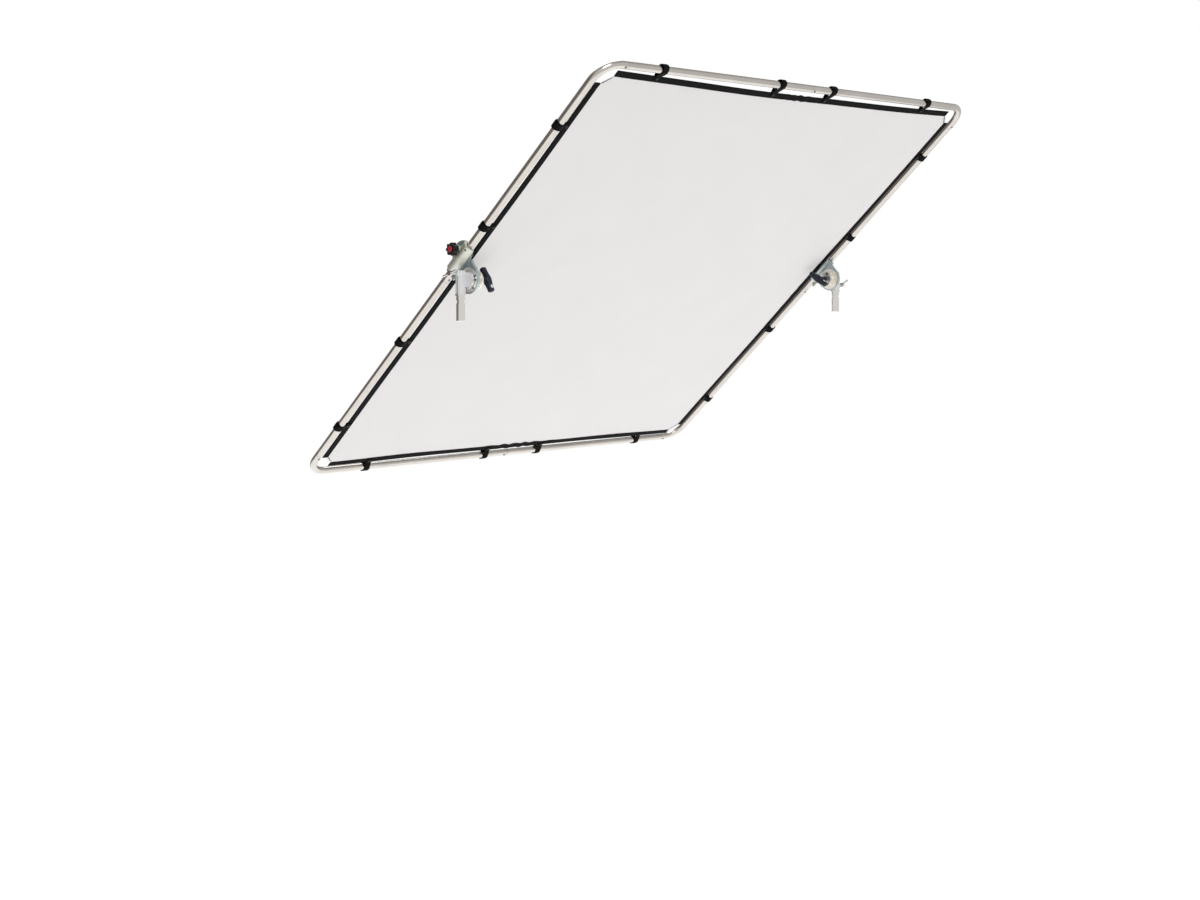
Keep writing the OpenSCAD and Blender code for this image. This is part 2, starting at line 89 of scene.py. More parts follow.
def material(name, base, metallic=0.0, roughness=0.5, **sockets):
    """A Principled material with its constants on the shader's own sockets. Words in a socket's
    name are joined with underscores. Gives the material, its node tree and its shader."""
    made = bpy.data.materials.new(name)
    made.use_nodes = True
    shader = made.node_tree.nodes["Principled BSDF"]
    shader.inputs["Base Color"].default_value = colour(base)
    shader.inputs["Metallic"].default_value = metallic
    shader.inputs["Roughness"].default_value = roughness
    for key, value in sockets.items():
        shader.inputs[key.replace("_", " ")].default_value = value
    return made, made.node_tree, shader


def wire(shader, **patterns):
    """Links patterns to the shader's sockets, named as in material."""
    for key, value in patterns.items():
        shader.id_data.links.new(value, shader.inputs[key.replace("_", " ")])


def studio_world():
    """World light by height above the horizon: bright below, a paler ceiling, and walls between
    them that are grey behind the object and white in front of it. The camera itself sees plain
    white."""
    world = bpy.data.worlds.new("studio")
    world.use_nodes = True
    scene.world = world
    tree = world.node_tree
    tree.nodes.clear()
    direction = add(tree, "TexCoord").outputs["Generated"]
    parts = add(tree, "SeparateXYZ", {"Vector": direction})
    height = parts.outputs["Z"]
    behind = add(tree, "MapRange", {"Value": parts.outputs["Y"], "From Min": -0.1, "From Max": 0.35},
                 interpolation_type="SMOOTHSTEP")
    wall = add(tree, "Mix", {0: behind.outputs[0], 6: colour("#EEECEA"), 7: colour("#86817C")},
               data_type="RGBA")
    wall_top = add(tree, "MapRange", {"Value": height, "From Min": 0.45, "From Max": 0.75},
                   interpolation_type="SMOOTHSTEP")
    ceiling = add(tree, "Mix", {0: wall_top.outputs[0], 6: wall.outputs[2], 7: colour("#B9B6B3")},
                  data_type="RGBA")
    below = add(tree, "MapRange", {"Value": height, "From Min": -0.55, "From Max": -0.42},
                interpolation_type="SMOOTHSTEP")
    room = add(tree, "Mix", {0: below.outputs[0], 6: colour("#F6F3F1"), 7: ceiling.outputs[2]},
               data_type="RGBA")
    light = add(tree, "Background", {"Color": room.outputs[2], "Strength": 0.95})
    seen = add(tree, "Background", {"Color": colour("#FFFFFF"), "Strength": 1.0})
    camera_ray = add(tree, "LightPath").outputs["Is Camera Ray"]
    shown = add(tree, "MixShader", {0: camera_ray, 1: light.outputs[0], 2: seen.outputs[0]})
    add(tree, "OutputWorld", {"Surface": shown.outputs[0]})


def soft_box(name, place, aim, size, watts):
    """A square area light at place that faces aim."""
    box = bpy.data.lights.new(name, "AREA")
    box.shape = "SQUARE"
    box.size = size
    box.energy = watts
    light = bpy.data.objects.new(name, box)
    light.location = place
    light.rotation_euler = (Vector(aim) - Vector(place)).to_track_quat("-Z", "Y").to_euler()
    scene.collection.objects.link(light)


studio_world()
soft_box("key_light", place=(-3.5, -4.5, 4.5), aim=(0, 0, 0), size=3.0, watts=170)
soft_box("top_light", place=(1.5, 2.5, 5.0), aim=(0, 0, 0), size=4.0, watts=170)

bpy.ops.mesh.primitive_circle_add(vertices=96, radius=FLOOR_R, fill_type="NGON", location=(0, 0, FLOOR_Z))
floor = bpy.context.object
floor.name = "floor"
floor_paint = material("lit_white_floor", "#FAFAF9", roughness=0.9,
                       Emission_Color=colour("#FFFFFF"), Emission_Strength=0.62)[0]
floor.data.materials.append(floor_paint)

# ---- The frame's own axes ---------------------------------------------------------------
# The scrim is made lying in its own upright plane, X to the right head and Z up, and is
# then leaned back about X by the angle from which the tilt joint can bring it upright.
tilt_joint = next(j for j in frame["joints"] if j["name"] == "tilt")
LEAN = math.radians(-tilt_joint["range_deg"][0])
TURN = np.array(Matrix.Rotation(LEAN, 3, "X"))
SIDES = ("top", "right", "bottom", "left")
MM = 0.001


def leaned(points):
    """Points of the upright frame, turned back about X by the lean."""
    return np.asarray(points, float) @ TURN.T


def leaned_back(points):
    """World points turned back into the frame's own upright axes."""
    return np.asarray(points, float) @ TURN


def vertices_of(node):
    """A CAD node's vertices in world axes."""
    mesh = frame["nodes"][node].data
    flat = np.empty(len(mesh.vertices) * 3, np.float32)
    mesh.vertices.foreach_get("co", flat)
    return flat.reshape(-1, 3).astype(float)


def upright(node):
    """A CAD node's vertices in the frame's own upright axes."""
    return leaned_back(vertices_of(node))


def upright_box(node):
    """Lowest and highest corner of a CAD node in the frame's own axes."""
    points = upright(node)
    return points.min(0), points.max(0)


tube_low, tube_high = upright_box("straight_tube_top")
TUBE_R = (tube_high[1] - tube_low[1]) / 2
CENTRE_LINE = (tube_low[2] + tube_high[2]) / 2


def on_side(k, along, depth, out):
    """World points of a side of the frame, top, right, bottom or left: along runs clockwise, out is
    away from the tube's centre line, depth is towards the back."""
    turn = math.radians(90 * k)
    reach = out + CENTRE_LINE
    x = along * math.cos(turn) + reach * math.sin(turn)
    z = reach * math.cos(turn) - along * math.sin(turn)
    return leaned(np.stack(np.broadcast_arrays(x, depth, z), -1))


# ---- Frame tubes ------------------------------------------------------------------------
# Four bent corner tubes and four straight ones, drawn from aluminium, bent cold and
# satin anodised. Drawing leaves fine lengthwise lines, and handling a few soft marks.
def tube_finish():
    """Satin anodised drawn aluminium: lengthwise lines follow each tube, so the eye reads its
    direction, and the anodised film keeps it pale and slightly warm."""
    made, tree, shader = material("satin_anodised_aluminium", "#D8D5D1", metallic=1.0, roughness=0.2)
    place = add(tree, "TexCoord").outputs["Object"]
    flat = add(tree, "Mapping", {"Vector": place, "Rotation": (-LEAN, 0, 0)}).outputs[0]
    parts = add(tree, "SeparateXYZ", {"Vector": flat})
    wide = add(tree, "Math", {0: parts.outputs["X"]}, operation="ABSOLUTE")
    high = add(tree, "Math", {0: parts.outputs["Z"]}, operation="ABSOLUTE")
    which = add(tree, "Math", {0: wide.outputs[0], 1: high.outputs[0]}, operation="SUBTRACT")
    upright_run = add(tree, "MapRange", {"Value": which.outputs[0], "From Min": -0.02, "From Max": 0.02})
    lines = []
    for stretch in ((4, 900, 900), (900, 900, 4)):
        drawn = add(tree, "Mapping", {"Vector": flat, "Scale": stretch}).outputs[0]
        lines.append(add(tree, "TexNoise", {"Vector": drawn, "Scale": 1.0, "Detail": 3.0}).outputs["Fac"])
    line = add(tree, "Mix", {0: upright_run.outputs[0], 2: lines[0], 3: lines[1]}).outputs[0]
    cloud = add(tree, "TexNoise", {"Vector": flat, "Scale": 9.0, "Detail": 4.0}).outputs["Fac"]
    tone = add(tree, "Mix", {0: cloud, 6: colour("#B3AFAA"), 7: colour("#CFCBC6")}, data_type="RGBA")
    rough = add(tree, "MapRange", {"Value": line, "From Min": 0.3, "From Max": 0.7,
                                   "To Min": 0.16, "To Max": 0.30})
    bump = add(tree, "Bump", {"Height": line, "Strength": 0.25, "Distance": 0.00004})
    wire(shader, Base_Color=tone.outputs[2], Roughness=rough.outputs[0], Normal=bump.outputs[0])
    return made


def paint(nodes, finish):
    """Gives CAD nodes their finish."""
    for name in nodes:
        mesh = frame["nodes"][name].data
        mesh.materials.clear()
        mesh.materials.append(finish)


paint([f"{kind}_tube_{side}" for kind in ("elbow", "straight") for side in SIDES], tube_finish())

# ---- Joint sleeves and snap buttons -----------------------------------------------------
# Mill finish sleeves join the tubes, and a plated button on a leaf spring locks each
# joint. The buttons are cold formed, so their domes are smoother than their sides.
def plain_metal(name, base, rough_low, rough_high, grain_mm, lift_mm):
    """A bright metal whose roughness and surface wander with a fine even grain of that size."""
    made, tree, shader = material(name, base, metallic=1.0, roughness=rough_low)
    place = add(tree, "TexCoord").outputs["Object"]
    grain = add(tree, "TexNoise", {"Vector": place, "Scale": 1 / (grain_mm * MM), "Detail": 4.0})
    rough = add(tree, "MapRange", {"Value": grain.outputs["Fac"], "From Min": 0.3, "From Max": 0.7,
                                   "To Min": rough_low, "To Max": rough_high})
    bump = add(tree, "Bump", {"Height": grain.outputs["Fac"], "Strength": 0.5, "Distance": lift_mm * MM})
    wire(shader, Roughness=rough.outputs[0], Normal=bump.outputs[0])
    return made


paint(["joint_sleeves"],
      plain_metal("mill_finish_aluminium", "#9C9C9E", rough_low=0.3, rough_high=0.5,
                  grain_mm=3.0, lift_mm=0.05))
paint([f"{where}_button_{side}" for where in ("corner", "mid") for side in SIDES],
      plain_metal("nickel_plated_spring_steel", "#8E8D8C", rough_low=0.14, rough_high=0.26,
                  grain_mm=2.0, lift_mm=0.02))

# ---- Diffusion cloth --------------------------------------------------------------------
# One square of white woven diffusion cloth, its corners cut across, sewn into the hems
# and stretched flat. It gives a few millimetres towards the floor under its own weight.
CLOTH_HALF = upright_box("diffusion_fabric")[1][0]
SEAM_IN = 6 * MM
CORNER_CUT = 30 * MM
SAG = 7 * MM
hem_low, hem_high = upright_box("hem_top")
HEM_HALF = hem_high[0]
HEM_W = hem_high[2] - hem_low[2]
HEM_T = hem_high[1] - hem_low[1]
HEM_OUT = (hem_low[2] + hem_high[2]) / 2 - CENTRE_LINE
# For each side: how far its hem bows in and sits out, how strongly it is gathered, and how far
# its two inner straps lie from its middle. The two outer ones lie STRAP_END from it.
HEM_BOW = (11 * MM, 1.5 * MM, 5 * MM, 1.5 * MM)
HEM_SHIFT = (4 * MM, 3 * MM, 2 * MM, 3 * MM)
GATHER = (1.0, 0.15, 1.0, 0.15)
STRAP_MIDS = (143 * MM, 280 * MM, 143 * MM, 280 * MM)
STRAP_END = 727.5 * MM


def hem_line(k, along):
    """How far out of the tube's centre line a hem's middle runs: its seat, a parabola that bows in
    towards the middle, and a short gathered stretch of ripples between the two middle straps."""
    share = along / HEM_HALF
    bow = HEM_BOW[k] * (1 - share ** 2)
    calm = np.exp(-(along / (0.55 * STRAP_MIDS[k])) ** 4)
    ripple = GATHER[k] * 1.3 * MM * calm * np.sin(along / (7.5 * MM) + 1.7 * np.sin(along / (31 * MM)))
    drift = 0.5 * MM * np.sin(along / (163 * MM) + k)
    return HEM_OUT + HEM_SHIFT[k] - bow + ripple + drift


def hem_depth(k, along):
    """How far a hem's middle stands off the frame's plane: slow waves between straps, and the
    gathered ripples."""
    calm = np.exp(-(along / (0.6 * STRAP_MIDS[k])) ** 4)
    return (0.8 * MM * np.sin(along / (118 * MM) + 2.1 * k)
            + GATHER[k] * 1.2 * MM * calm * np.sin(along / (9.3 * MM) + 0.8))


def cloth_points(across, up):
    """The cloth over a square of -1 to 1 each way: each edge follows its hem's inner line with the
    seam inside it, the corners are cut at 45 degrees, and the middle sags as a product of two
    parabolas, with short tension folds that die away from the edges."""
    wide, tall = across * CLOTH_HALF, up * CLOTH_HALF
    along = (wide, -tall, -wide, tall)
    edge = [hem_line(k, at) - HEM_W / 2 + SEAM_IN + CENTRE_LINE - CLOTH_HALF for k, at in enumerate(along)]
    x = wide + np.where(across > 0, edge[1], -edge[3]) * np.abs(across) ** 3
    z = tall + np.where(up > 0, edge[0], -edge[2]) * np.abs(up) ** 3
    over = np.maximum(0, np.abs(x) + np.abs(z) - (2 * (CLOTH_HALF + SEAM_IN) - CORNER_CUT))
    x = x - np.sign(x) * over / 2
    z = z - np.sign(z) * over / 2
    sag = -SAG * (1 - across ** 2) * (1 - up ** 2)
    near = [np.exp(-(1 - value) * CLOTH_HALF / (55 * MM)) for value in (up, across, -up, -across)]
    folds = sum(GATHER[k] * 1.6 * MM * near[k]
                * np.sin(along[k] / (11 * MM) + 2 * np.sin(along[k] / (57 * MM)))
                * np.exp(-(along[k] / (1.3 * STRAP_MIDS[k])) ** 4) for k in range(4))
    pull = 1.1 * MM * sum(near[k] * np.cos(along[k] * math.pi / (2 * STRAP_MIDS[k])) for k in range(4))
    inside = (1 - across ** 4) * (1 - up ** 4)
    slack = 0.9 * MM * np.sin((x + 0.6 * z) / 0.21) * np.sin((z - 0.5 * x) / 0.33) * inside
    follow = 0.8 * sum(near[k] * hem_depth(k, along[k]) for k in range(4))
    depth = sag + folds + pull + slack + follow
    return leaned(np.stack([x, depth, z], -1))


def grid(points, closed=False, caps=False, uv=None):
    """Vertices, faces and UVs of a grid of points, row by row. closed joins each row's end to its
    start, and caps fills the first and last rows. uv has one more column than points where the rows
    close."""
    rows, columns = points.shape[:2]
    span = columns if closed else columns - 1
    i, j = (a.ravel() for a in np.meshgrid(np.arange(rows - 1), np.arange(span), indexing="ij"))
    after = (j + 1) % columns
    faces = np.stack([i * columns + j, i * columns + after,
                      (i + 1) * columns + after, (i + 1) * columns + j], 1)
    corners = points.reshape(-1, 3)[faces]
    size = np.linalg.norm(np.cross(corners[:, 2] - corners[:, 0], corners[:, 3] - corners[:, 1]), axis=1)
    kept = size > 1e-10
    if uv is None:
        uv = np.stack(np.meshgrid(np.linspace(0, 1, rows), np.linspace(0, 1, span + 1), indexing="ij"), -1)
    loops = np.stack([uv[i, j], uv[i, j + 1], uv[i + 1, j + 1], uv[i + 1, j]], 1)
    face_list, loop_list = faces[kept].tolist(), list(loops[kept].reshape(-1, 2))
    if caps:
        for row, order in ((0, range(columns)), (rows - 1, range(columns - 1, -1, -1))):
            face_list.append([row * columns + n for n in order])
            loop_list += [uv[row, n] for n in order]
    return points.reshape(-1, 3), face_list, np.array(loop_list)


def closed_form(points, uv=None):
    """A grid that closes round each row and is capped at both ends."""
    return grid(points, closed=True, caps=True, uv=uv)


def piece(name, parts, finish, body, stands_for=(), solid=True, crease=40):
    """A finished piece from one or more grids: its vertices merged, its faces turned outwards if it
    is closed, its edges past the crease angle left sharp, then its finish, body and the CAD
    nodes that it stands for."""
    start, vertices, faces = 0, [], []
    for points, face_list, _ in parts:
        vertices.append(points)
        faces += [[n + start for n in face] for face in face_list]
        start += len(points)
    mesh = bpy.data.meshes.new(name)
    mesh.from_pydata(np.concatenate(vertices), [], faces)
    layer = mesh.uv_layers.new(name="UVMap")
    layer.data.foreach_set("uv", np.concatenate([loops for _, _, loops in parts]).astype(np.float32).ravel())
    work = bmesh.new()
    work.from_mesh(mesh)
    bmesh.ops.remove_doubles(work, verts=work.verts, dist=1e-7)
    if solid:
        bmesh.ops.recalc_face_normals(work, faces=work.faces)
    work.to_mesh(mesh)
    work.free()
    mesh.polygons.foreach_set("use_smooth", [True] * len(mesh.polygons))
    mesh.set_sharp_from_angle(angle=math.radians(crease))
    mesh.materials.append(finish)
    made = bpy.data.objects.new(name, mesh)
    scene.collection.objects.link(made)
    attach(made, body)
    if stands_for:
        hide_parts(*stands_for)
    return made


def wave_scale(pitch):
    """The wave texture's scale for bands that lie this far apart: 2 pi over the pitch, over the
    texture's own 20."""
    return 2 * math.pi / pitch / 20


def cloth_finish():
    """White polyester diffusion cloth, plain woven: matt, it glows where light comes through, and
    its thread grid is drawn at 2.4 mm, coarser than the real 0.3 mm, so that it shows."""
    made, tree, shader = material("white_diffusion_cloth", "#EFEEEE", roughness=0.75, Specular_IOR_Level=0.25,
                                  Sheen_Weight=0.15, Sheen_Roughness=0.5)
    uv = add(tree, "TexCoord").outputs["UV"]
    pitch = 2.4 * MM
    threads = [add(tree, "TexWave", {"Vector": uv, "Scale": wave_scale(pitch), "Distortion": 0.4,
                                     "Detail": 1.0}, bands_direction=way) for way in ("X", "Y")]
    weave = add(tree, "Math", {0: threads[0].outputs["Fac"], 1: threads[1].outputs["Fac"]},
                operation="MULTIPLY")
    slub = add(tree, "TexNoise", {"Vector": uv, "Scale": 5.0, "Detail": 5.0})
    tone = add(tree, "Mix", {0: slub.outputs["Fac"], 6: colour("#DAD8DA"), 7: colour("#E2E0E2")},
               data_type="RGBA")
    bump = add(tree, "Bump", {"Height": weave.outputs[0], "Strength": 0.18, "Distance": 0.00012})
    wire(shader, Base_Color=tone.outputs[2], Normal=bump.outputs[0])
    through = add(tree, "BsdfTranslucent", {"Color": colour("#E0DFE1"), "Normal": bump.outputs[0]})
    both = add(tree, "MixShader", {0: 0.3, 1: shader.outputs[0], 2: through.outputs[0]})
    tree.links.new(both.outputs[0], tree.nodes["Material Output"].inputs["Surface"])
    return made


CLOTH_CELLS = 260
steps = np.linspace(-1, 1, CLOTH_CELLS + 1)
steps = np.sign(steps) * (1 - (1 - np.abs(steps)) ** 1.15)
down, right = np.meshgrid(steps, steps, indexing="ij")
cloth_uv = np.stack([right, down], -1) * CLOTH_HALF
cloth = piece("diffusion_cloth", [grid(cloth_points(right, down), uv=cloth_uv)], cloth_finish(),
              "scrim_frame", ["diffusion_fabric"], solid=False)

# ---- Hems -------------------------------------------------------------------------------
# Black polyester webbing folded over each edge of the cloth and sewn with two lines of
# black thread. Heat cut ends, and a short gathered stretch where the band was joined.
SEAM_AT = (-8 * MM, 8 * MM)
THREAD_R = 0.3 * MM
STITCH_LONG = 4.5 * MM


def webbing_finish(name, rib_mm):
    """Black woven polyester webbing: cross ribs of that pitch over fine lengthwise yarns, dull on
    the rib tops and black between them."""
    made, tree, shader = material(name, "#060607", roughness=0.8, Specular_IOR_Level=0.12)
    uv = add(tree, "TexCoord").outputs["UV"]
    rib = add(tree, "TexWave", {"Vector": uv, "Scale": wave_scale(rib_mm * MM), "Distortion": 0.8,
                                "Detail": 2.0, "Detail Scale": 2.0}, bands_direction="X")
    yarn = add(tree, "TexWave", {"Vector": uv, "Scale": wave_scale(1.6 * MM), "Distortion": 0.6,
                                 "Detail": 1.0}, bands_direction="Y")
    weave = add(tree, "Math", {0: rib.outputs["Fac"], 1: yarn.outputs["Fac"]}, operation="MULTIPLY")
    tone = add(tree, "Mix", {0: weave.outputs[0], 6: colour("#020203"), 7: colour("#0D0D0F")},
               data_type="RGBA")
    bump = add(tree, "Bump", {"Height": weave.outputs[0], "Strength": 0.6, "Distance": 0.0004})
    wire(shader, Base_Color=tone.outputs[2], Normal=bump.outputs[0])
    return made


def band_profile(width, thick, points=28):
    """Outline of a flat band: an ellipse raised to the sixth power, so that its faces are flat and
    its edges round."""
    angle = np.linspace(0, 2 * math.pi, points, endpoint=False)
    power = 1 / 3
    return (np.sign(np.cos(angle)) * np.abs(np.cos(angle)) ** power * width / 2,
            np.sign(np.sin(angle)) * np.abs(np.sin(angle)) ** power * thick / 2)


def hem_points(k, along):
    """A hem's surface: the band outline at each place along its line, drawn in over the last 2 mm,
    with a groove along each sewn line, 4 mm in from its edge."""
    wide, thick = band_profile(HEM_W, HEM_T)
    groove = 0.22 * MM * sum(np.exp(-((wide - at) / (0.9 * MM)) ** 2) for at in SEAM_AT)
    thick = thick - np.sign(thick) * groove
    closing = np.clip((HEM_HALF - np.abs(along)) / (2 * MM), 0, 1) ** 0.5 * 0.3 + 0.7
    swell = 1 + 0.04 * np.sin(along / (47 * MM)) + 0.05 * np.sin(along / (19 * MM) + k)
    out = hem_line(k, along)[:, None] + wide[None, :]
    depth = hem_depth(k, along)[:, None] + thick[None, :] * (closing * swell)[:, None]
    return on_side(k, np.broadcast_to(along[:, None], out.shape), depth, out)


def stitch_points(k, along, out_by, face):
    """A sewn thread: short arches 4.5 mm long that rise out of the hem's groove and dive back into
    it, 0.6 mm thick."""
    angle = np.linspace(0, 2 * math.pi, 6, endpoint=False)
    arch = np.abs(np.sin(along * math.pi / STITCH_LONG)) ** 0.6
    out = hem_line(k, along)[:, None] + out_by + THREAD_R * np.cos(angle)
    lift = HEM_T / 2 - 0.45 * MM + 0.42 * MM * arch
    depth = hem_depth(k, along)[:, None] + face * (lift[:, None] + THREAD_R * np.sin(angle))
    return on_side(k, np.broadcast_to(along[:, None], out.shape), depth, out)


def band_uv(along, width, thick, points=28):
    """UVs of a band in metres: along it, and round its outline."""
    girth = np.linspace(0, 2 * (width + thick), points + 1)
    return np.stack(np.meshgrid(along, girth, indexing="ij"), -1)


webbing = webbing_finish("black_hem_webbing", rib_mm=2.2)
thread_black = webbing_finish("black_sewing_thread", rib_mm=1.5)
hem_steps = np.linspace(-HEM_HALF, HEM_HALF, 700)
stitch_steps = np.linspace(-HEM_HALF + 3 * MM, HEM_HALF - 3 * MM, 2400)
hems = []
for k, side in enumerate(SIDES):
    band = closed_form(hem_points(k, hem_steps), uv=band_uv(hem_steps, HEM_W, HEM_T))
    hems.append(piece(f"hem_band_{side}", [band], webbing, "scrim_frame", [f"hem_{side}"], crease=60))
    rows = [closed_form(stitch_points(k, stitch_steps, at, face)) for at in SEAM_AT for face in (-1, 1)]
    hems.append(piece(f"hem_stitching_{side}", rows, thread_black, "scrim_frame"))

# ---- Corner piping ----------------------------------------------------------------------
# A round black cord sewn over the raw edge of each cut corner, from one hem's end to the
# next one's.
PIPING_R = 1.5 * MM
PIPING_PAST = 1.5 * MM


def piping_points(sign_x, sign_z):
    """A cord along the cut corner, bent very slightly outwards: a circle carried along a parabola
    at 45 degrees, closing at each end."""
    node_points = upright("corner_piping")
    here = node_points[(np.sign(node_points[:, 0]) == sign_x) & (np.sign(node_points[:, 2]) == sign_z)]
    middle = (here.min(0) + here.max(0)) / 2
    half = (here[:, 0].max() - here[:, 0].min()) / 2 * math.sqrt(2) - PIPING_R + PIPING_PAST
    t = np.sin(np.linspace(-math.pi / 2, math.pi / 2, 33))
    radius = PIPING_R * np.sqrt(np.clip(1 - t ** 16, 0.02, 1))
    angle = np.linspace(0, 2 * math.pi, 16, endpoint=False)
    way = np.array([sign_x, 0, -sign_z]) / math.sqrt(2)
    outwards = np.array([sign_x, 0, sign_z]) / math.sqrt(2)
    line = middle + t[:, None] * half * way + (0.6 * MM * (1 - t ** 2))[:, None] * outwards
    ring = np.cos(angle)[:, None] * outwards + np.sin(angle)[:, None] * np.array([0, 1, 0])
    return leaned(line[:, None, :] + radius[:, None, None] * ring[None, :, :])


cords = [closed_form(piping_points(sign_x, sign_z)) for sign_x in (-1, 1) for sign_z in (-1, 1)]
piping = piece("corner_piping_cords", cords, thread_black, "scrim_frame", ["corner_piping"])
[h.name for h in hems[::2]]

# ---- Strap loops ------------------------------------------------------------------------
# Flat black elastic webbing, 25 mm wide, folded round the tube and closed on the hem by a
# press stud. Each loop stands a little off the tube's outer side, as slack elastic does.
STRAP_W = 25 * MM
STRAP_T = 2 * MM
STRAP_SLACK = 0.4 * MM
STRAP_R = TUBE_R + STRAP_SLACK + STRAP_T / 2
STRAP_EAR = 5 * MM
STRAP_GAP = 0.3 * MM
HEM_EDGE = HEM_OUT + HEM_W / 2
TAIL_END = HEM_EDGE - 16 * MM
TAIL_FLAT = HEM_EDGE - 1 * MM


def strap_line(points=96):
    """The strap's middle line across the tube, as out and depth: a tail along the hem's underside,
    an arc about the tube's centre, an arc whose centre is moved out by the ear, and back by the
    same way."""
    neck = HEM_T / 2 + STRAP_GAP + STRAP_T / 2
    turn = np.linspace(math.pi * 0.70, 0, points // 3)
    ear = STRAP_EAR * np.clip((math.pi / 2 - turn) / (math.pi / 3), 0, 1)
    ear = ear * ear * (3 * STRAP_EAR - 2 * ear) / STRAP_EAR ** 2
    round_out = STRAP_R * np.cos(turn) + ear
    round_depth = -STRAP_R * np.sin(turn)
    tail = np.linspace(TAIL_END, round_out[0] - 1.5 * MM, points // 6, endpoint=False)
    blend = np.clip((tail - TAIL_FLAT) / (round_out[0] - TAIL_FLAT), 0, 1)
    tail_depth = -neck + (round_depth[0] + neck) * blend ** 2 * (3 - 2 * blend)
    half = np.stack([np.append(tail, round_out), np.append(tail_depth, round_depth)], 1)
    back = half[::-1][1:] * np.array([1, -1])
    return np.concatenate([half, back])


def strap_points(k, middle, skew):
    """A strap's surface: the flat band outline carried round its line, with the whole loop skewed a
    little along the tube."""
    line = strap_line()
    way = np.gradient(line, axis=0)
    way /= np.linalg.norm(way, axis=1)[:, None]
    normal = np.stack([way[:, 1], -way[:, 0]], 1)
    wide, thick = band_profile(STRAP_W, STRAP_T, 20)
    along = middle + wide[None, :] + skew * (line[:, 0] - HEM_OUT)[:, None]
    out = line[:, :1] + normal[:, :1] * thick[None, :]
    depth = line[:, 1:] + normal[:, 1:] * thick[None, :]
    on_hem = np.clip(-(line[:, :1] + TUBE_R) / (12 * MM), 0, 1)
    return on_side(k, along, depth, out + (hem_line(k, middle) - HEM_OUT) * on_hem)


def strap_uv():
    """UVs of a strap in metres: along its line, and round its outline."""
    line = strap_line()
    length = np.append(0, np.cumsum(np.linalg.norm(np.diff(line, axis=0), axis=1)))
    return band_uv(length, STRAP_W, STRAP_T, 20)


elastic = webbing_finish("black_elastic_webbing", rib_mm=1.8)
chance = np.random.default_rng(7)
skews = chance.uniform(-0.12, 0.12, (4, 4))
places = [(-STRAP_END, -middle, middle, STRAP_END) for middle in STRAP_MIDS]
for k, side in enumerate(SIDES):
    loops = [closed_form(strap_points(k, at, skew), uv=strap_uv()) for at, skew in zip(places[k], skews[k])]
    piece(f"strap_loops_{side}", loops, elastic, "scrim_frame", [f"straps_{side}"], crease=60)

# ---- Press studs ------------------------------------------------------------------------
# A blackened brass press stud closes each strap on the underside of its hem: a spun cap
# with a rolled rim and a shallow dished middle.
STUD_R = 5.5 * MM
STUD_OUT = HEM_EDGE - 8 * MM


def stud_points(k, along):
    """A press stud: its profile, a rolled rim round a shallow dish, turned about the strap's normal."""
    reach = np.array([0.4, 0.45, 0.62, 0.8, 0.93, 1.0, 0.98, 0.9, 0.8, 0.72, 0.6, 0.4, 0.2, 0.06]) * STUD_R
    lift = np.array([-0.5, 0.0, 0.1, 0.3, 0.7, 1.2, 1.6, 1.9, 2.0, 1.85, 1.5, 1.3, 1.25, 1.25]) * MM
    angle = np.linspace(0, 2 * math.pi, 28, endpoint=False)
    base = HEM_T / 2 + STRAP_GAP + STRAP_T
    out = STUD_OUT + (hem_line(k, along) - HEM_OUT) + reach[:, None] * np.cos(angle)
    return on_side(k, along + reach[:, None] * np.sin(angle), -(base + lift[:, None]) + 0 * angle, out)


stud_black, stud_tree, stud_shader = material("blackened_brass", "#2A2A2D", metallic=1.0, roughness=0.32)
stud_place = add(stud_tree, "TexCoord").outputs["Object"]
stud_wear = add(stud_tree, "TexNoise", {"Vector": stud_place, "Scale": 900.0, "Detail": 3.0})
stud_rough = add(stud_tree, "MapRange", {"Value": stud_wear.outputs["Fac"], "To Min": 0.2, "To Max": 0.5})
wire(stud_shader, Roughness=stud_rough.outputs[0])
studs = [closed_form(stud_points(k, at)) for k in range(4) for at in places[k]]
piece("press_studs", studs, stud_black, "scrim_frame", ["strap_studs"])

# ---- Clamp castings ---------------------------------------------------------------------
# Each head's back plate and saddle is one blue zinc plated casting, machined bright round the
# tilt axis. The jaw that closes on the tube is another, plated clear but for its blue fan.
# They leave the foundry with rounded edges and a fine sand texture.
HEADS = {"left": -1, "right": 1}  # with the sign of the way along X that points outboard
FACE_R = 40 * MM
FACE_BLUR = 0.3 * MM
SHARP = math.radians(35)


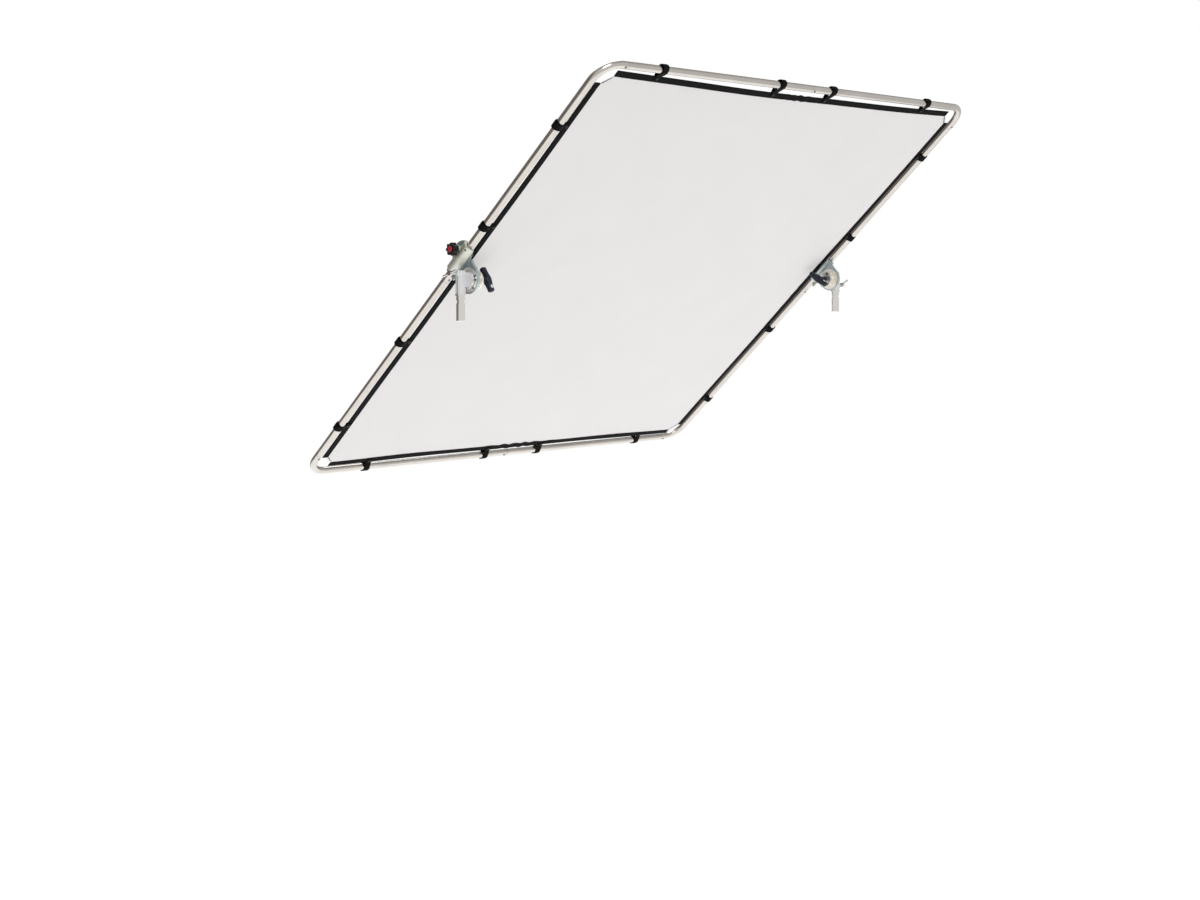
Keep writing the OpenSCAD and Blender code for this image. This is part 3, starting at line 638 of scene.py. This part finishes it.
def cast_finish(name, shadow, light, tint, rough, grain_mm, lift_mm, faced=None):
    """Zinc plated casting: a pale metal whose plating drifts between two tints over a few
    centimetres, over a fine sand grain, duller in the grain's hollows, where shade is painted in as
    the shadow colour. faced is the colour of the machined face round the tilt axis."""
    made, tree, shader = material(name, light, metallic=1.0, roughness=rough)
    place = add(tree, "TexCoord").outputs["Object"]
    drift = add(tree, "TexNoise", {"Vector": place, "Scale": 22.0, "Detail": 3.0, "Distortion": 0.6})
    grain = add(tree, "TexNoise", {"Vector": place, "Scale": 1 / (grain_mm * MM), "Detail": 5.0})
    spread = add(tree, "MapRange", {"Value": drift.outputs["Fac"], "From Min": 0.35, "From Max": 0.65})
    plate = add(tree, "Mix", {0: spread.outputs[0], 6: colour(light), 7: colour(tint)}, data_type="RGBA")
    # painted shade: the grain's hollows take the darker shadow colour
    painted_hollow_shade = add(tree, "MapRange", {"Value": grain.outputs["Fac"], "From Min": 0.25, "From Max": 0.5})
    tone = add(tree, "Mix", {0: painted_hollow_shade.outputs[0], 6: colour(shadow), 7: plate.outputs[2]}, data_type="RGBA")
    if faced:
        across = add(tree, "VectorMath", {0: place, 1: (0, 1, 1)}, operation="MULTIPLY").outputs[0]
        away = add(tree, "VectorMath", {0: across, 1: tilt_joint["pos_m"]}, operation="DISTANCE")
        skin = add(tree, "MapRange", {"Value": away.outputs["Value"],
                                      "From Min": FACE_R - FACE_BLUR, "From Max": FACE_R + FACE_BLUR})
        tone = add(tree, "Mix", {0: skin.outputs[0], 6: colour(faced), 7: tone.outputs[2]}, data_type="RGBA")
    dull = add(tree, "MapRange", {"Value": grain.outputs["Fac"], "From Min": 0.3, "From Max": 0.7,
                                  "To Min": rough + 0.12, "To Max": rough - 0.06})
    bump = add(tree, "Bump", {"Height": grain.outputs["Fac"], "Strength": 0.5, "Distance": lift_mm * MM})
    wire(shader, Base_Color=tone.outputs[2], Roughness=dull.outputs[0], Normal=bump.outputs[0])
    return made


def softened(node, body, finish, edge_mm):
    """A copy of a CAD casting that stands for it: its triangles merged back to flat faces, and each
    corner over 35 degrees rounded to that radius."""
    mesh = frame["nodes"][node].data.copy()
    mesh.name = f"{node}_body"
    if "custom_normal" in mesh.attributes:
        mesh.attributes.remove(mesh.attributes["custom_normal"])
    work = bmesh.new()
    work.from_mesh(mesh)
    bmesh.ops.remove_doubles(work, verts=work.verts, dist=2e-6)
    bmesh.ops.dissolve_limit(work, angle_limit=math.radians(0.6), verts=work.verts, edges=work.edges)
    bmesh.ops.recalc_face_normals(work, faces=work.faces)
    work.to_mesh(mesh)
    work.free()
    mesh.polygons.foreach_set("use_smooth", [True] * len(mesh.polygons))
    mesh.set_sharp_from_angle(angle=SHARP)
    mesh.materials.clear()
    mesh.materials.append(finish)
    made = bpy.data.objects.new(f"{node}_body", mesh)
    scene.collection.objects.link(made)
    bevel = made.modifiers.new("soft_edges", "BEVEL")
    bevel.width = edge_mm * MM
    bevel.segments = 3
    bevel.limit_method = "ANGLE"
    bevel.angle_limit = SHARP
    bevel.use_clamp_overlap = True
    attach(made, body)
    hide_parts(node)
    return made


FAN_FROM = 21 * MM
plate_zinc = cast_finish("blue_zinc_plated_casting", "#8E999F", "#B9C3C8", "#BECBC8", rough=0.44,
                         grain_mm=1.4, lift_mm=0.12, faced="#F4F1EA")
jaw_zinc = cast_finish("clear_zinc_plated_casting", "#A9ACA6", "#D5DAD5", "#DBDBCE", rough=0.5,
                       grain_mm=1.4, lift_mm=0.12)
for head in HEADS:
    softened(f"{head}_main_plate", "scrim_frame", plate_zinc, edge_mm=0.9)
    jaw = softened(f"{head}_clamp_jaw", f"{head}_jaw", jaw_zinc, edge_mm=0.9)
    jaw.data.materials.append(plate_zinc)
    for face in jaw.data.polygons:
        face.material_index = int(leaned_back(face.center)[1] > FAN_FROM)

# ---- Rubber pads ------------------------------------------------------------------------
# Thin black rubber sheet bonded inside the saddle and the jaw, so that the clamp grips
# the anodised tube without marking it.
rubber, rubber_tree, rubber_shader = material("black_sheet_rubber", "#151516", roughness=0.85,
                                              Specular_IOR_Level=0.3)
rubber_place = add(rubber_tree, "TexCoord").outputs["Object"]
rubber_grain = add(rubber_tree, "TexNoise", {"Vector": rubber_place, "Scale": 1500.0, "Detail": 3.0})
rubber_bump = add(rubber_tree, "Bump", {"Height": rubber_grain.outputs["Fac"], "Strength": 0.5,
                                        "Distance": 0.0001})
wire(rubber_shader, Normal=rubber_bump.outputs[0])
paint([f"{head}_{kind}_pad" for head in HEADS for kind in ("plate", "jaw")], rubber)

# ---- Clamp bolt, knob and cap -----------------------------------------------------------
# A zinc plated bolt draws the jaw in. Its star knob is moulded in black glass filled
# nylon over the bolt, with a red cap snapped into its face.
KNOB_LOBES = 7
paint([f"{head}_clamp_bolt" for head in HEADS],
      plain_metal("zinc_plated_steel", "#B9BABA", rough_low=0.2, rough_high=0.34, grain_mm=2.0, lift_mm=0.03))


def nylon_finish(name, base, light, rough):
    """Moulded glass filled nylon: the mould's spark eroded skin gives it pebbles about 0.6 mm
    across, and it drifts between two tones, a little glossier where hands have polished it."""
    made, tree, shader = material(name, base, roughness=rough, Specular_IOR_Level=0.3)
    place = add(tree, "TexCoord").outputs["Object"]
    pebble = add(tree, "TexVoronoi", {"Vector": place, "Scale": 1600.0})
    cloud = add(tree, "TexNoise", {"Vector": place, "Scale": 60.0, "Detail": 3.0})
    tone = add(tree, "Mix", {0: cloud.outputs["Fac"], 6: colour(base), 7: colour(light)}, data_type="RGBA")
    shine = add(tree, "MapRange", {"Value": cloud.outputs["Fac"], "From Min": 0.3, "From Max": 0.7,
                                   "To Min": rough + 0.08, "To Max": rough - 0.08})
    bump = add(tree, "Bump", {"Height": pebble.outputs["Distance"], "Strength": 0.25, "Distance": 0.0001})
    wire(shader, Base_Color=tone.outputs[2], Roughness=shine.outputs[0], Normal=bump.outputs[0])
    return made


def turned_size(node, outward):
    """Of a CAD node turned about an axis along X: the middle of its inboard end, its height and its
    radius."""
    low, high = upright_box(node)
    middle = (low + high) / 2
    middle[0] = low[0] if outward > 0 else high[0]
    return middle, high[0] - low[0], (high[2] - low[2]) / 2


def turned(centre, outward, height, radius, angle):
    """World points of a shape turned about an axis along X in the frame's own axes: height runs
    outboard from centre, and radius and angle lie across it."""
    x = centre[0] + outward * height
    y = centre[1] + radius * np.cos(angle)
    z = centre[2] + radius * np.sin(angle)
    return leaned(np.stack(np.broadcast_arrays(x, y, z), -1))


def knob_points(head, outward):
    """A star knob: the radius is a core plus a rounded cosine wave of seven lobes, its height
    profile has shoulders rounded as a quarter ellipse, and its face is dished towards the cap."""
    centre, tall, full = turned_size(f"{head}_clamp_knob", outward)
    neck = 0.54 * full
    base = 2 * MM
    lower, upper = 4 * MM, 3 * MM
    bend = np.linspace(0, math.pi / 2, 9)
    height = np.concatenate([
        [0, 0.3 * MM, base - 0.4 * MM, base],
        base + lower * (1 - np.cos(bend)),
        np.linspace(base + lower, tall - upper, 6)[1:],
        tall - upper + upper * np.sin(bend)[1:],
        [tall - 0.1 * MM, tall - 1.0 * MM, tall - 1.6 * MM, tall - 1.6 * MM]])
    reach = np.concatenate([
        [neck * 0.9, neck, neck, neck],
        neck + (full - neck) * np.sin(bend),
        np.full(5, full),
        full - 3.5 * MM * (1 - np.cos(bend)[1:]),
        [0.76 * full, 0.66 * full, 0.5 * full, 0.1 * full]])
    angle = np.linspace(0, 2 * math.pi, KNOB_LOBES * 18, endpoint=False)
    wave = (0.5 - 0.5 * np.cos(KNOB_LOBES * angle)) ** 1.4
    lobed = np.clip((reach - neck) / (full - neck), 0, 1) ** 0.8
    radius = reach[:, None] * (1 - 0.27 * lobed[:, None] * wave[None, :])
    return turned(centre, outward, height[:, None], radius, angle[None, :])


def cap_points(head, outward):
    """A knob cap: a shallow dome, its radius a cosine and its height a sine, on a short straight
    edge."""
    centre, tall, full = turned_size(f"{head}_knob_cap", outward)
    bend = np.linspace(0, 0.495 * math.pi, 14)
    height = np.concatenate([[-1.2 * MM, 0.4 * tall], 0.4 * tall + 0.6 * tall * np.sin(bend)])
    reach = np.concatenate([[full, full], full * np.cos(bend) ** 0.6])
    angle = np.linspace(0, 2 * math.pi, 48, endpoint=False)
    return turned(centre, outward, height[:, None], reach[:, None], angle[None, :])


knob_nylon = nylon_finish("black_glass_filled_nylon", "#050506", "#0E0F11", rough=0.4)
red_plastic, red_tree, red_shader = material("red_moulded_nylon", "#98182A", roughness=0.28, Coat_Weight=0.3)
red_place = add(red_tree, "TexCoord").outputs["Object"]
red_cloud = add(red_tree, "TexNoise", {"Vector": red_place, "Scale": 220.0, "Detail": 3.0})
red_tone = add(red_tree, "Mix", {0: red_cloud.outputs["Fac"], 6: colour("#8E1526"), 7: colour("#A82638")},
               data_type="RGBA")
wire(red_shader, Base_Color=red_tone.outputs[2])
for head, outward in HEADS.items():
    piece(f"{head}_star_knob", [closed_form(knob_points(head, outward))], knob_nylon,
          f"{head}_knob", [f"{head}_clamp_knob"], crease=50)
    piece(f"{head}_red_cap", [closed_form(cap_points(head, outward))], red_plastic,
          f"{head}_knob", [f"{head}_knob_cap"], crease=50)

# ---- Tilt hubs --------------------------------------------------------------------------
# A cream coloured zinc casting bolted through the plate with three socket screws. The
# pivot turns in it, and it carries the thread that the T handle tightens against.
hub_zinc = cast_finish("yellow_zinc_plated_hub", "#BDB7AA", "#F1ECE2", "#EBEAE4", rough=0.34,
                       grain_mm=1.2, lift_mm=0.1)
for head in HEADS:
    softened(f"{head}_tilt_hub", "scrim_frame", hub_zinc, edge_mm=0.8)
paint([f"{head}_hub_screws" for head in HEADS],
      plain_metal("black_oxide_steel", "#26272A", rough_low=0.28, rough_high=0.42,
                  grain_mm=1.5, lift_mm=0.03))

# ---- Screw ends -------------------------------------------------------------------------
# Three black screws show on the plate's machined face, outside the friction flange, and
# one near the end of the jaw, where the pad's backing is held.
PLATE_SCREW_R = 3.4 * MM
PLATE_SCREW_LIFT = 1.2 * MM
PLATE_SCREW_OUT = 35.5 * MM
PLATE_SCREW_TURNS = (110, 133, 182)
RING_GAP = 0.1 * MM
JAW_SCREW_R = 3.2 * MM
JAW_SCREW_LIFT = 1.0 * MM
JAW_SCREW_IN = 12 * MM
JAW_SCREW_TURN = math.radians(24)
PIVOT = leaned_back(tilt_joint["pos_m"])


def dome(centre, normal, radius, lift):
    """A low dome on a surface: a quarter ellipse turned about the surface's normal, from a little
    below it."""
    normal = np.array(normal, float) / np.linalg.norm(normal)
    side = np.array([0, 0, 1.0])
    third = np.cross(normal, side)
    bend = np.linspace(0, 0.48 * math.pi, 8)
    reach = np.concatenate([[radius], radius * np.cos(bend)])
    height = np.concatenate([[-1.5 * MM], lift * np.sin(bend)])
    angle = np.linspace(0, 2 * math.pi, 24, endpoint=False)
    ring = np.cos(angle)[:, None] * side + np.sin(angle)[:, None] * third
    return leaned(np.array(centre) + height[:, None, None] * normal + reach[:, None, None] * ring)


def plate_screws(head, outward):
    """The three domes on the plate's face, on a circle about the tilt axis. The right head's are the
    left one's turned upside down."""
    face_x = np.abs(upright(f"{head}_friction_ring")[:, 0]).min() - RING_GAP
    for degrees in PLATE_SCREW_TURNS:
        turn = math.radians(degrees)
        place = (outward * face_x, PIVOT[1] + PLATE_SCREW_OUT * math.cos(turn),
                 PIVOT[2] - outward * PLATE_SCREW_OUT * math.sin(turn))
        yield closed_form(dome(place, (outward, 0, 0), PLATE_SCREW_R, PLATE_SCREW_LIFT))


def jaw_screw(head, outward):
    """The dome on the round of the jaw's back, a little in from its end: the upper end on the left
    head and the lower one on the right."""
    low, high = upright_box(f"{head}_clamp_jaw")
    reach = np.abs([low[0], high[0]]).max() - CENTRE_LINE
    normal = (outward * math.cos(JAW_SCREW_TURN), -math.sin(JAW_SCREW_TURN), 0)
    end = high[2] - JAW_SCREW_IN if outward < 0 else low[2] + JAW_SCREW_IN
    return closed_form(dome((outward * CENTRE_LINE + reach * normal[0], reach * normal[1], end),
                            normal, JAW_SCREW_R, JAW_SCREW_LIFT))


screw_black = plain_metal("black_oxide_screw", "#1B1C1E", rough_low=0.3, rough_high=0.45,
                          grain_mm=1.5, lift_mm=0.03)
for head, outward in HEADS.items():
    piece(f"{head}_plate_screws", list(plate_screws(head, outward)), screw_black, "scrim_frame")
    piece(f"{head}_jaw_screw", [jaw_screw(head, outward)], screw_black, f"{head}_jaw")

# ---- T handles --------------------------------------------------------------------------
# Moulded blue black nylon over a steel insert: a barrel grip with a wide middle, flattened
# flanks and a pale oval inlay on one of them, on a short boss that holds it clear of the hub.
GRIP_ROWS = 61
GRIP_THICK = 13.5 * MM
GRIP_OUT = 12 * MM
BOSS_OUT = 14 * MM
BOSS_R = 10.6 * MM
INLAY_AT = -0.62
INLAY_LONG = 8 * MM
INLAY_WIDE = 4.5 * MM


def handle_axes(head):
    """The handle's own axes from its CAD node: its vertices, its middle, the way the grip runs,
    which is the node's longest direction across the pivot, and half its length that way."""
    points = vertices_of(f"{head}_tilt_handle")
    centre = (points.min(0) + points.max(0)) / 2
    across = points[:, 1:] - centre[1:]
    _, _, ways = np.linalg.svd(across, full_matrices=False)
    way = np.array([0, ways[0, 0], ways[0, 1]])
    half = np.abs(across @ ways[0]).max()
    return points, centre, way * np.sign(way[2]), half


def grip_breadth(t):
    """The grip's breadth across its flanks, over its thickness, at t from -1 to 1 along it: a bell
    curve on a constant."""
    return 0.70 + 0.38 * np.exp(-(t / 0.5) ** 2)


def grip_middle(points, centre, outward):
    """The middle of the grip, outboard of the handle's inboard end."""
    return np.array([outward * (np.abs(points[:, 0]).min() + GRIP_OUT), centre[1], centre[2]])


def grip_points(head, outward):
    """A barrel grip: a rounded square section, a circle raised to the power 2.6, whose size falls
    away from the middle as a bell curve, grows a little again towards the ends and closes over the
    last few millimetres as a quarter circle."""
    points, centre, way, half = handle_axes(head)
    t = np.sin(np.linspace(-math.pi / 2, math.pi / 2, GRIP_ROWS))
    waist = 0.78 + 0.22 * np.exp(-(t / 0.34) ** 2) + 0.06 * t ** 2
    close = np.clip((1 - np.abs(t)) * half / (4 * MM), 0, 1)
    closing = np.sqrt(np.clip(1 - (1 - close) ** 2, 0.01, 1))
    size = 0.98 * GRIP_THICK * waist * closing
    breadth = GRIP_THICK * grip_breadth(t) * closing
    angle = np.linspace(0, 2 * math.pi, 40, endpoint=False)
    power = 2 / 2.6
    flat_x = np.sign(np.cos(angle)) * np.abs(np.cos(angle)) ** power
    flat_side = np.sign(np.sin(angle)) * np.abs(np.sin(angle)) ** power
    side = np.cross(way, [1, 0, 0])
    line = grip_middle(points, centre, outward) + (t * half)[:, None, None] * way
    return (line + (size[:, None] * flat_x)[..., None] * np.array([1, 0, 0])
            + (breadth[:, None] * flat_side)[..., None] * side)


def inlay_points(head, outward):
    """A pale oval inlay on the front flank of the grip, towards its lower end: a low dome, a
    quarter ellipse high, stretched along the grip."""
    points, centre, way, half = handle_axes(head)
    front = np.cross(way, [1, 0, 0])
    front = front * -np.sign(front[1])
    surface = GRIP_THICK * grip_breadth(INLAY_AT) - 0.5 * MM
    middle = grip_middle(points, centre, outward) + INLAY_AT * half * way + surface * front
    bend = np.linspace(0, 0.48 * math.pi, 8)
    angle = np.linspace(0, 2 * math.pi, 32, endpoint=False)
    reach = np.append(1, np.cos(bend))
    height = np.append(-1.5 * MM, 1.1 * MM * np.sin(bend))
    ring = ((INLAY_LONG * np.cos(angle))[:, None] * way
            + (INLAY_WIDE * np.sin(angle))[:, None] * np.array([1, 0, 0]))
    return middle + reach[:, None, None] * ring + height[:, None, None] * front


def boss_points(head, outward):
    """A boss from the hub to the grip: a circle about the pivot, drawn in halfway by a squared
    sine, with its edge at the hub eased and six shallow flutes."""
    points, centre, _, _ = handle_axes(head)
    outer = np.abs(points[:, 0]).max()
    inner = np.abs(points[:, 0]).min() + BOSS_OUT
    t = np.linspace(0, 1, 24)
    reach = BOSS_R - 2.2 * MM * np.sin(t * math.pi) ** 2
    reach = reach * np.sqrt(1 - 0.3 * np.clip(1 - 12 * t, 0, 1) ** 2)
    angle = np.linspace(0, 2 * math.pi, 48, endpoint=False)
    flute = 1 - 0.05 * np.cos(6 * angle) * np.sin(t * math.pi)[:, None]
    x = outward * (outer + (inner - outer) * t)
    y = centre[1] + reach[:, None] * flute * np.cos(angle)
    z = centre[2] + reach[:, None] * flute * np.sin(angle)
    return np.stack(np.broadcast_arrays(x[:, None], y, z), -1)


handle_nylon = nylon_finish("blue_black_nylon", "#0A0D1C", "#151A2E", rough=0.34)
inlay_nylon = nylon_finish("pale_grey_nylon", "#C9CBD2", "#DADCE2", rough=0.4)
for head, outward in HEADS.items():
    moulding = [closed_form(points(head, outward)) for points in (grip_points, boss_points)]
    piece(f"{head}_t_handle", moulding, handle_nylon, f"{head}_handle",
          [f"{head}_tilt_handle"], crease=50)
    piece(f"{head}_handle_inlay", [closed_form(inlay_points(head, outward))],
          inlay_nylon, f"{head}_handle", crease=50)

# ---- Stand sockets ----------------------------------------------------------------------
# The part that stays with the stand: a die cast aluminium block with a machined flange, a
# fibre friction ring, the pivot bolt, and a turned steel spigot pressed in from below.
socket_cast = cast_finish("die_cast_aluminium", "#B4B5B8", "#EDEFF2", "#F2F2F2", rough=0.3,
                          grain_mm=1.2, lift_mm=0.08)


def turned_finish():
    """Turned and nickel plated steel: the tool leaves rings round the spigot about 0.5 mm apart,
    drawn at 0.8 mm, and the plating is bright and a little warm."""
    made, tree, shader = material("turned_nickel_plated_steel", "#E2E1DE", metallic=1.0, roughness=0.16)
    place = add(tree, "TexCoord").outputs["Object"]
    rings = add(tree, "TexWave", {"Vector": place, "Scale": wave_scale(0.8 * MM), "Distortion": 0.3},
                bands_direction="Z")
    bump = add(tree, "Bump", {"Height": rings.outputs["Fac"], "Strength": 0.2, "Distance": 0.00003})
    cloud = add(tree, "TexNoise", {"Vector": place, "Scale": 70.0, "Detail": 3.0})
    rough = add(tree, "MapRange", {"Value": cloud.outputs["Fac"], "From Min": 0.3, "From Max": 0.7,
                                   "To Min": 0.12, "To Max": 0.24})
    wire(shader, Roughness=rough.outputs[0], Normal=bump.outputs[0])
    return made


spigot_steel = turned_finish()
fibre, fibre_tree, fibre_shader = material("brake_fibre", "#4A3B30", roughness=0.8)
fibre_place = add(fibre_tree, "TexCoord").outputs["Object"]
fibre_speck = add(fibre_tree, "TexNoise", {"Vector": fibre_place, "Scale": 1400.0, "Detail": 4.0})
fibre_tone = add(fibre_tree, "Mix", {0: fibre_speck.outputs["Fac"],
                                     6: colour("#2C241E"), 7: colour("#6A5848")}, data_type="RGBA")
wire(fibre_shader, Base_Color=fibre_tone.outputs[2])
for head in HEADS:
    softened(f"{head}_socket_block", f"{head}_base", socket_cast, edge_mm=0.4)
paint([f"{head}_{kind}" for kind in ("stand_spigot", "pivot_bolt") for head in HEADS], spigot_steel)
paint([f"{head}_friction_ring" for head in HEADS], fibre)

# ---- Lock screws ------------------------------------------------------------------------
# A chrome plated T screw locks the smaller stand pin in the spigot's bore: a turned boss
# with a cross bar that ends in two balls.
chrome, chrome_tree, chrome_shader = material("bright_chrome_plate", "#BFBEBC", metallic=1.0, roughness=0.08)
chrome_place = add(chrome_tree, "TexCoord").outputs["Object"]
chrome_wear = add(chrome_tree, "TexNoise", {"Vector": chrome_place, "Scale": 120.0, "Detail": 4.0})
chrome_rough = add(chrome_tree, "MapRange", {"Value": chrome_wear.outputs["Fac"],
                                             "From Min": 0.35, "From Max": 0.7,
                                             "To Min": 0.06, "To Max": 0.2})
wire(chrome_shader, Roughness=chrome_rough.outputs[0])
paint([f"{head}_lock_screw" for head in HEADS], chrome)
